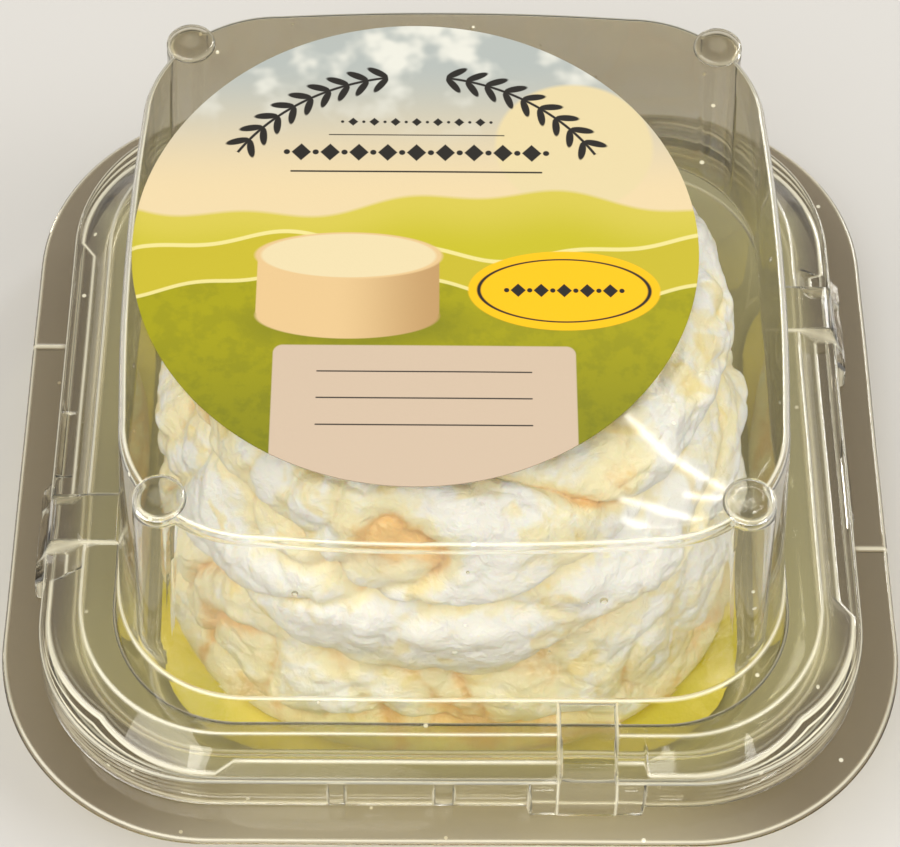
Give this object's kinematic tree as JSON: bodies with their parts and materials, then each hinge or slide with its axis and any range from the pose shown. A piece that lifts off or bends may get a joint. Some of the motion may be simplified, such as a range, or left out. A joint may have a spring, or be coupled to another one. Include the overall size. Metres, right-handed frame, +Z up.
{
  "type": "chabichou cheese in a clear pack",
  "caption": "Squat cone of goat cheese with a folded rind, shut in a square clear plastic tray and domed lid with a round label on top.",
  "frame": {"origin": "centre of the pack's bounding box, on the under side of the tray's floor", "axes": "+Z up through the lid, -Y towards the front that the picture shows, +X to the right seen from the front"},
  "size_m": [0.1, 0.1, 0.0499],
  "materials": {
    "clear_plastic": "clear, thin and glossy",
    "goat_rind": "moist ivory rind with peach creases, stands in for cheese",
    "label_paper": null,
    "mat_paper": "damp yellow-green paper"
  },
  "bodies": {
    "root": {"tray": "clear_plastic", "lid": "clear_plastic", "label": "label_paper", "mat": "mat_paper", "cheese": "goat_rind"}
  },
  "joints": []
}
